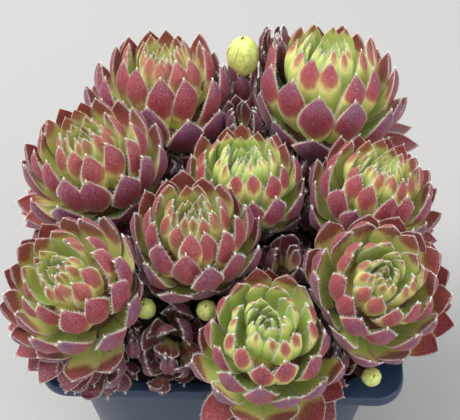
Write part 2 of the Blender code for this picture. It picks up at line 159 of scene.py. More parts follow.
# The leaves that clasp the large bud's runner. Their spine is in millimetres out from it and in
# shares of the leaf's length along it.
SHEATH_LEAVES = 11
SHEATH_FIRST = 3
SHEATH_TURN = math.radians(250)
SHEATH_LENGTH = (8.5, 11)
SHEATH_SPINE = ((0.3, 0), (3.0, 0.1), (3.9, 0.6), (3.4, 1))
SHEATH_HALF_WIDTH = 2.5 * MM

# How a leaf reddens. The ages over which its outer and its inner face ripen, where along it the
# red starts on a young leaf, and how much lower on an old one.
OUTER_RIPENING, OUTER_START, OUTER_LOWERED = (0.05, 0.80), 0.82, 0.48
INNER_RIPENING, INNER_START, INNER_LOWERED = (0.85, 1.10), 0.54, 0.55
INNER_LAG = 0.03
MARGIN_LAG = 0.16
TINT_SHIFT = 0.05
RED_RISE = (-0.16, 0.18)
# How red each face becomes, and the gain on top of it: an old leaf's outer face, and the tip of
# an inner one. Then the purple at an old leaf's upper end, and the yellow of a bare base.
OUTER_RED, OUTER_GAIN = 0.40, 0.17
INNER_RED, INNER_GAIN = 0.33, 0.16
PURPLE, PURPLE_RISE = 0.30, (0.60, 0.95)
YELLOW, YELLOW_LOSS = 0.08, 0.6

# The hairs along a leaf's margins up to its point, and the tuft there.
HAIRY_FROM = 0.30
HAIR_STOPS = 15
HAIRS_END = 13.6  # of the 14 runs between the stops, so that the tuft has the point
HAIRY_SHARE = 0.7
HAIR_FORWARD = 0.7
HAIR_SPREAD = 0.3
HAIR_LENGTHS = (0.5, 1.2)
HAIR_INSIDE = 0.6  # a hair points away from the skin this share of the way to the margin
TUFT_HAIRS = 8
TUFT_FOOT, TUFT_AIM = 0.985, 0.93  # along the leaf: the foot, and where the way to the tip starts
TUFT_YOUNG, TUFT_AGES = 0.5, (0.1, 0.6)  # a young leaf's shorter tuft, and where it grows out
TUFT_SPREAD = 0.5
TUFT_LENGTHS = (0.5, 1.1)
TUFT_THICKNESS = 1.4
DOWN_FOOT = (0.72, 0.80)  # where down starts, across and up, as shares of the radius
DOWN_LENGTHS = (0.6, 1.2)

# How leaves differ, in shares of the radius and in degrees, and how they make room.
TIP_OUT_SPREAD = 0.04
TIP_HEIGHT_SPREAD = 0.03
TIP_LEAN_SPREAD = 6
TURN_SPREAD = 4
ROLL_SPREAD = 7
GOLDEN_TURN = math.radians(137.508)
CROWD_MARGIN = 1.8 * MM
CROWD_LEAST = 0.45
TURN_AGE = 0.8
TURN_SPAN = 0.4
TURN_SHARE = 0.4
TURN_LEAN = 12
RUNNER_ROOM = 0.8 * MM
RIM_CLEAR = 1.0 * MM
RIM_SOFTNESS = 0.8 * MM
RIM_FELT = 8
RIM_SLOPE = 2.5

# The random draws start from these numbers, plus the piece's own.
TINT_SEED, HAIR_SEED, DOWN_SEED, CRUMB_SEED, TUFT_SEED, SHEATH_SEED = range(100, 700, 100)


class Head(NamedTuple):
    """A rosette, an offset, or a clump of a rosette's old leaves. Its middle and radius are in
    millimetres, its middle's height is over the lip, and green is how far the green of its leaf
    bases reaches up past the usual."""

    name: str
    middle: tuple
    radius: float
    lean_towards: float
    lean: float
    leaves: int
    oldest: float
    turn: float
    root: tuple = ()
    youngest: float = 0.0
    tall: float = 1.0
    opened: float = 0.0
    broad: float = 1.0
    green: float = 0.0
    stem: tuple = ROSETTE_STEM
    part_of: str = ""


ROSETTES = (
    Head("rosette_back_left", (-19.6, 38.0, 21.0), 21.5, 100, 12, 39, 1.2, 10, (-18, 27)),
    Head("rosette_back_right", (24.5, 40.0, 22.0), 22.5, 75, 13, 39, 1.2, 35, (20, 28),
         green=0.12),
    Head("rosette_left", (-34.5, 6.0, 25.5), 19.5, 180, 12, 41, 1.25, 80, (-26, 5)),
    Head("rosette_middle", (3.8, 2.0, 24.0), 17.0, 90, 3, 40, 1.15, 50, (3.8, 2), green=0.14),
    Head("rosette_right", (36.5, 2.0, 22.0), 17.5, 10, 10, 40, 1.2, 15, (27, 2), green=0.05),
    Head("rosette_front_middle", (-7.7, -18.0, 25.0), 17.5, 265, 4, 40, 1.15, 60, (-7, -14),
         tall=1.2),
    Head("rosette_front_left", (-35.0, -31.0, 22.5), 18.5, 215, 24, 43, 1.3, 20, (-25, -24),
         opened=0.1, green=0.02),
    Head("rosette_front_right", (36.0, -29.0, 23.5), 18.5, 300, 21, 42, 1.25, 70, (26, -22),
         opened=0.1, green=0.02),
    Head("rosette_front", (11.0, -41.0, 17.0), 18.0, 262, 10, 42, 1.2, 5, (8, -30),
         opened=0.2, green=0.12),
)
CLUMPS = (
    Head("old_leaves_front", (-12.0, -34.0, 8.5), 12.0, 262, 46, 16, 1.25, 100,
         youngest=0.1, broad=1.3, part_of="rosette_front_middle"),
    Head("old_leaves_middle", (14.8, -16.5, 14.0), 9.5, 300, 15, 10, 0.95, 30,
         youngest=0.15, tall=1.3, broad=1.3, part_of="rosette_front"),
    Head("old_leaves_back", (2.6, 28.5, 17.5), 8.0, 270, 8, 10, 0.9, 60,
         youngest=0.15, tall=1.9, broad=1.4, part_of="rosette_back_left"),
    Head("old_leaves_left", (-30.5, -40.0, 6.5), 10.0, 250, 42, 11, 1.2, 40,
         youngest=0.35, broad=1.3, part_of="rosette_front_left"),
)
OFFSETS = (
    Head("offset_back", (2.4, 44.0, 31.0), 4.9, 90, 10, 5, 1, 0, (3, 38),
         tall=1.35, opened=-2.5, stem=RUNNER),
    Head("offset_front_left", (-18.7, -31.0, 15.2), 2.8, 240, 15, 3, 1, 0, (-17.5, -25),
         tall=1.1, opened=-2.5, stem=RUNNER),
    Head("offset_front_right", (-3.8, -32.5, 17.2), 2.8, 270, 15, 3, 1, 0, (-3, -24),
         tall=1.1, opened=-2.5, stem=RUNNER),
    Head("offset_right", (36.1, -43.5, 7.6), 2.6, 290, 30, 3, 1, 0, (27, -31),
         tall=1.1, opened=-2.5, stem=RUNNER),
)
HEADS = ROSETTES + CLUMPS + OFFSETS


def added_clump(name, middle, part_of, radius=8.0, tall=1.2):
    """Old leaves that the solids go without, in a gap between rosettes."""
    return Head(name, middle, radius, 270, 0, 9, 0.95, 0, youngest=0.15, tall=tall,
                part_of=part_of)


ADDED_CLUMPS = (
    added_clump("gap_left", (-15.2, 19.5, 9.5), "rosette_back_left"),
    added_clump("gap_front_left", (-25.5, -5.0, 9.5), "rosette_left"),
    added_clump("gap_old_leaves", (-22.0, -35.0, 6.0), "rosette_front_left"),
    added_clump("gap_back", (11.0, 31.5, 9.5), "rosette_back_right"),
    added_clump("gap_right", (20.2, 23.0, 9.5), "rosette_back_right"),
    added_clump("gap_middle_right", (20.2, 5.0, 9.5), "rosette_right"),
    added_clump("gap_front_right", (27.2, -37.0, 6.0), "rosette_front_right"),
    added_clump("gap_front", (-13.5, -39.5, 5.5), "rosette_front", 7.0),
    added_clump("bud_left", (-3.5, 41.0, 20.0), "rosette_back_left", 5.5, 2.1),
    added_clump("bud_right", (9.3, 41.5, 20.0), "rosette_back_right", 5.5, 2.1),
    added_clump("bud_behind", (11.0, 48.5, 27.5), "rosette_back_right", 6.5, 2.0),
)

# The dry tufts' places over the lip, and their slivers, in millimetres.
DRY_TUFTS = ((9.5, -10.7, 20.0), (-15.6, 10.5, 18.0))
DRY_COUNT = 26
DRY_SPREAD = 0.9
DRY_LENGTH = (1.2, 2.6)
DRY_THICKNESS = 0.28

# The stage: each lamp's place and size, and the camera, found by matching the photograph, which
# is 460 pixels wide.
LAMPS = {"key": ((-0.35, 0.10, 0.75), 0.45), "fill": ((0.55, -0.45, 0.45), 0.6)}
LAMP_AIM = (0, 0, 90 * MM)
SKY_COLOUR = (0.92, 0.95, 1)
CAMERA_SPOT = (0.00885938, -0.21525649, 0.33676102)
CAMERA_AIM = (0.00059006, 0, 0.09751813)
PHOTO_PIXELS = 460
FOCAL_PIXELS = 1250
SENSOR_WIDTH = 36

# The record's material slot of each node.
SLOTS = {part["node"]: part["material_slot"] for part in frame["record"]["subparts"]}


class Leaf(NamedTuple):
    """How one leaf lies: where its head's meridian plane stands, and its spine in that plane."""

    frame: Matrix
    walls: list
    spine: tuple
    half_width: float
    thickness: float
    roll: float
    age: float
    tint: float
    green: float


def linear(code):
    """The linear colour of an sRGB hex value."""
    values = [int(code[k:k + 2], 16) / 255 for k in (1, 3, 5)]
    return tuple(v / 12.92 if v <= 0.04045 else ((v + 0.055) / 1.055) ** 2.4 for v in values)


def at(keys, values, x):
    """The value at x of the straight runs between the keys."""
    for (x0, x1), (y0, y1) in zip(zip(keys, keys[1:]), zip(values, values[1:])):
        if x <= x1:
            return y0 + (y1 - y0) * (x - x0) / (x1 - x0)
    return values[-1]


def rise(low, high, x):
    """0 up to low, 1 from high on, and a smooth rise between them."""
    s = max(0.0, min(1.0, (x - low) / (high - low)))
    return s * s * (3 - 2 * s)


def cubic(s):
    """The weights of a cubic curve's four controls at s."""
    r = 1 - s
    return r**3, 3 * r * r * s, 3 * r * s * s, s**3


def head_matrix(head):
    """Places a head: its own +Z is its axis, and its origin is its middle."""
    x, y, height = head.middle
    towards = Matrix.Rotation(math.radians(head.lean_towards), 4, "Z")
    lean = Matrix.Rotation(math.radians(head.lean), 4, "Y")
    place = Matrix.Translation(Vector((x * MM, y * MM, RIM_TOP + height * MM)))
    return place @ towards @ lean @ towards.inverted()


def soil_height(x, y):
    """The compost's surface at (x, y), which goes on falling outside the pot."""
    share = math.hypot(x, y) / (POT_WIDTH / 2)
    return RIM_TOP - SOIL_EDGE_DEPTH + SOIL_RISE * (1 - share * share)


def core_of(head):
    """The middle of the mass of leaf bases in a head."""
    return head_matrix(head) @ Vector((0, 0, CORE_HEIGHT * head.radius * MM))


def stem_points(head, steps=STEM_STEPS):
    """The run of a head's stem: from its core down to its foot, or a clump's to the core of the
    head it is part of."""
    start = core_of(head)
    for other in HEADS:
        if other.name == head.part_of:
            return [start, core_of(other)]
    axis = head_matrix(head).to_3x3() @ Vector((0, 0, 1))
    x, y = (value * MM for value in head.root)
    soil = soil_height(x, y)
    neck = Vector((x, y, soil))
    under_head = start - axis * (start - neck).length * HEAD_HANDLE
    over_neck = neck + Vector((0, 0, start.z - soil)) * NECK_HANDLE
    controls = (start, under_head, over_neck, neck)
    points = [
        sum((w * p for w, p in zip(cubic(step / steps), controls)), Vector())
        for step in range(steps + 1)
    ]
    return points + [Vector((x, y, soil - head.stem[1]))]


def walls_of(head):
    """The planes that keep a head's leaves out of its neighbours and of the offsets' runners: a
    point on each, and its way out."""
    centre = head_matrix(head).translation
    walls = []
    for other in HEADS:
        if head.name in (other.name, other.part_of) or other.name == head.part_of:
            continue
        gap = head_matrix(other).translation - centre
        share = head.radius / (head.radius + other.radius)
        way = gap.normalized()
        walls.append((centre + gap * share - way * CLEAR / 2, way))
        if other.stem is RUNNER:
            for point in stem_points(other)[1:-1]:
                way = (point - centre).normalized()
                walls.append((point - way * (RUNNER[0] + RUNNER_ROOM), way))
    return walls


def least_height(x, y):
    """The least height that a leaf keeps at (x, y), over the compost and the pot's lip."""
    inner = POT_WIDTH / 2 - LIP_CORNER
    out_x = max(abs(x) - inner, 0)
    out_y = max(abs(y) - inner, 0)
    outside = max(math.hypot(out_x, out_y) - LIP_CORNER - RIM_CLEAR, 0)
    lip = RIM_TOP - RIM_SLOPE * outside
    return max(lip, soil_height(x, y)) + RIM_CLEAR


def kept_clear(point, walls):
    """The point, eased back from the neighbours' side of each wall and up from the lip."""
    for spot, way in walls:
        beyond = (point - spot).dot(way)
        if beyond > -CROWD_MARGIN:
            eased = -CROWD_MARGIN * math.exp(-(beyond + CROWD_MARGIN) / CROWD_MARGIN)
            point = point + way * (eased - beyond)
    over = (point.z - least_height(point.x, point.y)) / RIM_SOFTNESS
    if over < RIM_FELT:
        point = point.copy()
        point.z += RIM_SOFTNESS * (math.log1p(math.exp(over)) - over)
    return point


def room_for(base, tip, walls):
    """The share of its length that a leaf can grow before its tip meets a neighbour."""
    share = 1.0
    for spot, way in walls:
        base_short = -(base - spot).dot(way)
        reach = (tip - base).dot(way)
        if reach > 0:
            share = min(share, (base_short - CROWD_MARGIN / 2) / reach)
    return share


def spine_at(spine, s):
    """The point at s of the spine, and its direction, both as (out, height)."""
    r = 1 - s
    slopes = (-3 * r * r, 3 * r * r - 6 * r * s, 6 * r * s - 3 * s * s, 3 * s * s)
    point = [sum(w * p[k] for w, p in zip(cubic(s), spine)) for k in (0, 1)]
    way = [sum(w * p[k] for w, p in zip(slopes, spine)) for k in (0, 1)]
    length = math.hypot(*way)
    return point, (way[0] / length, way[1] / length)


def turned_to_light(head, turn, age):
    """The way an old leaf grows, nearer to the open side that its rosette leans to."""
    grown = max(0, min((age - TURN_AGE) / TURN_SPAN, 1))
    share = TURN_SHARE * min(head.lean / TURN_LEAN, 1) * grown
    towards = math.radians(head.lean_towards)
    off = math.remainder(turn - towards, math.tau)
    return towards + off * (1 - share)


def either_way(dice, spread):
    return dice.uniform(-spread, spread)


def grown_leaf(head, matrix, walls, age, turn, dice, tint, tuck):
    """One leaf of a head, or None where there is no room for it. Its tip lies at this share of
    the way that a leaf of its age reaches."""
    radius = head.radius * MM
    tip_out = tuck * (at(AGES, TIP_OUT, age) + head.opened * at(AGES, OPENING, age))
    base = (at(AGES, BASE_OUT, age) * radius, at(AGES, BASE_HEIGHT, age) * radius)
    tip = (
        tip_out * radius * (1 + either_way(dice, TIP_OUT_SPREAD)),
        (at(AGES, TIP_HEIGHT, age) * head.tall * tuck
         + either_way(dice, TIP_HEIGHT_SPREAD)) * radius,
    )
    base_lean = math.radians(at(AGES, BASE_LEAN, age))
    tip_lean = math.radians(at(AGES, TIP_LEAN, age) + either_way(dice, TIP_LEAN_SPREAD))
    turn = turn + math.radians(head.turn + either_way(dice, TURN_SPREAD))
    turn = turned_to_light(head, turn, age)
    roll = math.radians(either_way(dice, ROLL_SPREAD))
    place = matrix @ Matrix.Rotation(turn, 4, "Z")
    room = room_for(
        place @ Vector((base[0], 0, base[1])), place @ Vector((tip[0], 0, tip[1])), walls
    )
    if room < CROWD_LEAST:
        return None
    if room < 1:
        tip = tuple(b + (t - b) * room for b, t in zip(base, tip))
    chord = math.hypot(tip[0] - base[0], tip[1] - base[1]) * LEAF_HANDLE
    start = (base[0] + chord * math.sin(base_lean), base[1] + chord * math.cos(base_lean))
    end = (tip[0] - chord * math.sin(tip_lean), tip[1] - chord * math.cos(tip_lean))
    half_width = at(AGES, HALF_WIDTH, age) * radius * head.broad * math.sqrt(min(room, 1))
    grown = min(YOUNG_THICKNESS + (1 - YOUNG_THICKNESS) * age, 1)
    thickness = max(LEAF_THICKNESS * radius * grown, LEAST_THICKNESS)
    return Leaf(place, walls, (base, start, end, tip), half_width, thickness, roll, age, tint,
                head.green)


def leaves_of(head, young=0, skirt=0):
    """The head's leaves as the solid has them, with another between every two, and this many
    more young ones in its crown and old ones in the skirt under it."""
    seed = HEADS.index(head) if head in HEADS else len(HEADS) + len(head.name)
    dice = random.Random(seed)
    tints = random.Random(TINT_SEED + seed)
    matrix = head_matrix(head)
    walls = walls_of(head)
    span = head.oldest - head.youngest

    def grow(places, draws, tuck=1.0):
        return [
            grown_leaf(head, matrix, walls, age, turn, draws, either_way(tints, 1), tuck)
            for age, turn in places
        ]

    leaves = grow([
        (head.youngest + span * (index + 0.5) / head.leaves, index * GOLDEN_TURN)
        for index in range(head.leaves)
    ], dice)
    places = [
        (head.youngest + span * index / head.leaves, (index + 0.5) * GOLDEN_TURN + math.pi)
        for index in range(1, head.leaves)
    ]
    places += [
        (CROWN_AGE * (index / young) ** CROWN_CROWDING, index * GOLDEN_TURN + math.pi / 2)
        for index in range(young)
    ]
    places += [
        (at((0, skirt), SKIRT_AGES, index + 0.5), index * GOLDEN_TURN + SKIRT_TURN)
        for index in range(skirt)
    ]
    leaves += grow(places, tints, TUCK)
    return [leaf for leaf in leaves if leaf]


def bud_leaves(head):
    """The leaves of a young offset, which close over each other to an egg."""
    dice = random.Random(HEADS.index(head))
    matrix = head_matrix(head)
    radius = head.radius * MM
    high = radius * head.tall
    leaves = []
    for index in range(BUD_LEAVES):
        top = BUD_TOPS[0] + BUD_TOPS[1] * index / BUD_LEAVES
        spine = [(out * radius, up * high) for out, up in (*BUD_SPINE, (BUD_TIP, top))]
        turn = Matrix.Rotation(index * GOLDEN_TURN, 4, "Z")
        leaves.append(Leaf(matrix @ turn, [], spine, BUD_HALF_WIDTH * radius,
                           BUD_THICKNESS * radius, 0, BUD_AGE, either_way(dice, 1), 0))
    return leaves


def sheath_leaves(head, count):
    """Narrow leaves that clasp an offset's runner, all along it but for its two ends."""
    dice = random.Random(SHEATH_SEED)
    points = stem_points(head, count + SHEATH_FIRST + 2)
    leaves = []
    for index in range(count):
        above, foot = points[index + SHEATH_FIRST - 1:index + SHEATH_FIRST + 1]
        up = (above - foot).to_track_quat("Z", "Y").to_matrix().to_4x4()
        turn = Matrix.Rotation(index * GOLDEN_TURN + SHEATH_TURN, 4, "Z")
        place = Matrix.Translation(foot) @ up @ turn
        long = dice.uniform(*SHEATH_LENGTH) * MM
        spine = [(out * MM, up * long) for out, up in SHEATH_SPINE]
        leaves.append(Leaf(place, [], spine, SHEATH_HALF_WIDTH, LEAST_THICKNESS, 0, 1.0,
                           either_way(dice, 1), OLD_GREEN))
    return leaves


def leaf_point(leaf, s, across, outer):
    """A point of the leaf's skin: s runs from its base to its tip, and across from margin to
    margin, on its outer face or its inner one."""
    width = leaf.half_width * at(STATIONS, WIDTH_ALONG, s)
    margin = -CUPPING * width
    bulge = max(0.0, 1 - across * across)
    if outer:
        keel = leaf.thickness * at(STATIONS, THICK_ALONG, s)
        lift = keel * bulge**KEEL_ROUNDNESS + margin * abs(across) ** MARGIN_CURL
    else:
        lift = margin * (HOLLOW + (1 - HOLLOW) * across * across)
    side = across * width
    (out, height), (way_out, way_up) = spine_at(leaf.spine, s)
    lift, side = (
        lift * math.cos(leaf.roll) - side * math.sin(leaf.roll),
        lift * math.sin(leaf.roll) + side * math.cos(leaf.roll),
    )
    local = Vector((out + way_up * lift, side, height - way_out * lift))
    return kept_clear(leaf.frame @ local, leaf.walls)


def redness(leaf, s, across, outer):
    """How red the skin is, from 0, green, to 1, purple: the sun reddens what the leaves below
    leave bare of it, most of the outer face of an old leaf and the tip of a young one."""
    grown = rise(*OUTER_RIPENING, leaf.age)
    start = OUTER_START - OUTER_LOWERED * grown + leaf.green + TINT_SHIFT * leaf.tint
    if not outer:
        ripened = INNER_LOWERED * rise(*INNER_RIPENING, leaf.age)
        start = max(start, INNER_START) + INNER_LAG - ripened
    red = rise(start + RED_RISE[0], start + RED_RISE[1], s - MARGIN_LAG * across * across)
    top = OUTER_RED + OUTER_GAIN * grown
    purple = PURPLE * rise(*PURPLE_RISE, s) * grown
    yellow = max(YELLOW - YELLOW_LOSS * leaf.green, 0)
    if outer:
        return yellow + red * (top + purple - yellow)
    return yellow + red * (INNER_RED - yellow + INNER_GAIN * rise(start, 1.0, s))


def copies(start, count):
    """A mesh of this many copies of the one that start makes, and each copy's vertices. It
    doubles them until there are enough."""
    seed = bmesh.new()
    start(seed)
    data = bpy.data.meshes.new("seed")
    seed.to_mesh(data)
    seed.free()
    mesh = bmesh.new()
    mesh.from_mesh(data)
    bpy.data.meshes.remove(data)
    size = len(mesh.verts)
    while len(mesh.verts) < size * count:
        bmesh.ops.duplicate(mesh, geom=mesh.verts[:] + mesh.edges[:] + mesh.faces[:])
    vertices = mesh.verts[:]
    bmesh.ops.delete(mesh, geom=vertices[size * count:], context="VERTS")
    return mesh, [vertices[size * k:size * (k + 1)] for k in range(count)]


def leaf_mesh(leaves, sides, rings):
    """A mesh of leaves. Each is a sphere whose poles are its base and its tip, with its rings
    crowded to the tip. Its material reads where on the leaf a point lies and how it looks."""
    def ball(mesh):
        mesh.verts.layers.float_vector.new("leaf_place")
        mesh.verts.layers.float_vector.new("leaf_look")
        bmesh.ops.create_uvsphere(mesh, u_segments=sides, v_segments=rings, radius=1)

    mesh, groups = copies(ball, len(leaves))
    place = mesh.verts.layers.float_vector["leaf_place"]
    look = mesh.verts.layers.float_vector["leaf_look"]
    for leaf, vertices in zip(leaves, groups):
        for vertex in vertices:
            x, y, z = vertex.co
            share = 1 - math.acos(max(-1, min(1, z))) / math.pi
            s = 1 - (1 - share) ** TIP_CROWDING
            reach = math.hypot(x, y)
            across = -x / reach if reach > 1e-4 else 0.0
            outer = y > -1e-4
            vertex.co = leaf_point(leaf, s, across, outer)
            vertex[place] = Vector((abs(across), s, 0))
            vertex[look] = Vector((redness(leaf, s, across, outer), leaf.age, leaf.tint))
    return mesh


def hair_mesh(hairs):
    """A mesh of slim cones, one for each (foot, tip, thickness)."""
    def cone(mesh):
        bmesh.ops.create_cone(mesh, cap_ends=False, segments=3, radius1=1, radius2=0, depth=1,
                              matrix=Matrix.Translation((0, 0, 0.5)))

    mesh, groups = copies(cone, len(hairs))
    for (foot, tip, thick), vertices in zip(hairs, groups):
        way = tip - foot
        turn = way.to_track_quat("Z", "Y").to_matrix()
        side, fore = turn.col[0] * thick, turn.col[1] * thick
        for vertex in vertices:
            x, y, z = vertex.co
            vertex.co = foot + side * x + fore * y + way * z
    return mesh


def strayed(way, dice, spread):
    """The direction, with a small draw on each axis."""
    return way + Vector([either_way(dice, spread) for _ in range(3)])


def leaf_hairs(leaf, sizes, dice):
    """The hairs along both margins of a leaf, and the tuft at its tip."""
    length = math.hypot(*(leaf.spine[3][k] - leaf.spine[0][k] for k in (0, 1)))
    count = int(HAIRY_SHARE * length / sizes.hair_spacing)
    hairs = []
    runs = HAIR_STOPS - 1
    stops = [HAIRY_FROM + (1 - HAIRY_FROM) * k / runs for k in range(HAIR_STOPS)]
    for across in (-1, 1):
        edge = [leaf_point(leaf, s, across, True) for s in stops]
        inside = [leaf_point(leaf, s, across * HAIR_INSIDE, True) for s in stops]
        for k in range(count):
            share = HAIRS_END * (k + dice.random()) / count
            step = int(share)
            foot = edge[step].lerp(edge[step + 1], share - step)
            way = (edge[step] - inside[step]).normalized()
            way += HAIR_FORWARD * (edge[step + 1] - edge[step]).normalized()
            way = strayed(way, dice, HAIR_SPREAD).normalized()
            reach = sizes.hair_length * dice.uniform(*HAIR_LENGTHS)
            hairs.append((foot, foot + way * reach, sizes.hair_radius))
    foot = leaf_point(leaf, TUFT_FOOT, 0, True)
    onward = (leaf_point(leaf, 1, 0, True) - leaf_point(leaf, TUFT_AIM, 0, True)).normalized()
    grown = TUFT_YOUNG + (1 - TUFT_YOUNG) * rise(*TUFT_AGES, leaf.age)
    for _ in range(TUFT_HAIRS):
        way = strayed(onward, dice, TUFT_SPREAD).normalized()
        reach = sizes.tuft_length * dice.uniform(*TUFT_LENGTHS) * grown
        hairs.append((foot, foot + way * reach, sizes.hair_radius * TUFT_THICKNESS))
    return hairs


def only(kind, items):
    return [item for item in items if isinstance(item, kind)]


def once_each(items):
    """The items without repeats, in their order, so that each run gives the same mesh."""
    return list(dict.fromkeys(items))


def edges_of(made):
    """The edges of a ring that an operator has made."""
    return once_each(edge for vertex in made["verts"] for edge in vertex.link_edges)


def placed(name, data):
    """An object with this data, in the scene."""
    made = bpy.data.objects.new(name, data)
    bpy.context.scene.collection.objects.link(made)
    return made


def mesh_object(name, mesh):
    """An object from a bmesh, which it frees."""
    data = bpy.data.meshes.new(name)
    mesh.to_mesh(data)
    mesh.free()
    return placed(name, data)


def add_tube(mesh, points, radius, sides=10):
    """A round tube along the points, closed at both ends, in the mesh's second material."""
    way = (points[1] - points[0]).normalized()
    turn = way.to_track_quat("Z", "Y").to_matrix().to_4x4()
    made = bmesh.ops.create_circle(
        mesh, cap_ends=False, segments=sides, radius=radius,
        matrix=Matrix.Translation(points[0]) @ turn,
    )
    rim = edges_of(made)
    faces = bmesh.ops.contextual_create(mesh, geom=rim)["faces"]
    before = points[0]
    for k, point in enumerate(points[1:], 1):
        grown = bmesh.ops.extrude_edge_only(mesh, edges=rim)["geom"]
        rim = only(bmesh.types.BMEdge, grown)
        ring = only(bmesh.types.BMVert, grown)
        faces += only(bmesh.types.BMFace, grown)
        after = points[min(k + 1, len(points) - 1)]
        new_way = (after - before).normalized()
        bend = way.rotation_difference(new_way).to_matrix()
        bmesh.ops.translate(mesh, verts=ring, vec=point - before)
        bmesh.ops.rotate(mesh, verts=ring, cent=point, matrix=bend)
        way = new_way
        before = point
    faces += bmesh.ops.contextual_create(mesh, geom=rim)["faces"]
    for face in faces:
        face.material_index = 1


def add_core(mesh, head):
    """The mass of leaf bases deep in a head: dark wine red below as painted shade between the
    leaves, and green at the top under the crown.
    """
    look = mesh.verts.layers.float_vector["leaf_look"]
    radius = CORE_SHARE * head.radius * MM
    made = bmesh.ops.create_icosphere(mesh, subdivisions=3, radius=radius)
    middle = Vector((0, 0, CORE_HEIGHT * head.radius * MM))
    matrix = head_matrix(head)
    for vertex in made["verts"]:
        top = rise(0.6, 0.9, vertex.co.z / radius)
        vertex.co.z *= CORE_SQUASH * head.tall
        vertex.co = matrix @ (vertex.co + middle)
        # Painted shade: below its top the core takes an old leaf's age and so its dark wine red;
        # the top takes the crown's green.
        vertex[look] = Vector((0.3 * (1 - top), 1.1 - 0.9 * top, 0))


def finished(name, mesh, materials, slot, *nodes):
    """A piece of the plant or pot from a bmesh: smooth, riding on the frame, and standing for the
    CAD nodes that it replaces."""
    for face in mesh.faces:
        face.smooth = True
    piece = mesh_object(name, mesh)
    for material in materials:
        piece.data.materials.append(material)
    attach(piece, "root")
    if nodes:
        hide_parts(*nodes)
    return piece


def new_material(name):
    material = bpy.data.materials.new(name)
    material.use_nodes = True
    return material, material.node_tree, material.node_tree.nodes["Principled BSDF"]


def feed(tree, node, inputs):
    """Gives each of these inputs a value, or links it to an output or to a node's result."""
    for key, value in inputs.items():
        if isinstance(value, bpy.types.Node):
            # The colour that a mix gives is its third output.
            value = value.outputs[2 if value.bl_idname == "ShaderNodeMix" else 0]
        if isinstance(value, bpy.types.NodeSocket):
            tree.links.new(value, node.inputs[key])
        else:
            node.inputs[key].default_value = value


def add_node(tree, kind, inputs=None, **settings):
    """A shader node with its settings and inputs."""
    made = tree.nodes.new("ShaderNode" + kind)
    for name, value in settings.items():
        setattr(made, name, value)
    feed(tree, made, inputs or {})
    return made


def rgba(colour):
    return (*colour, 1)


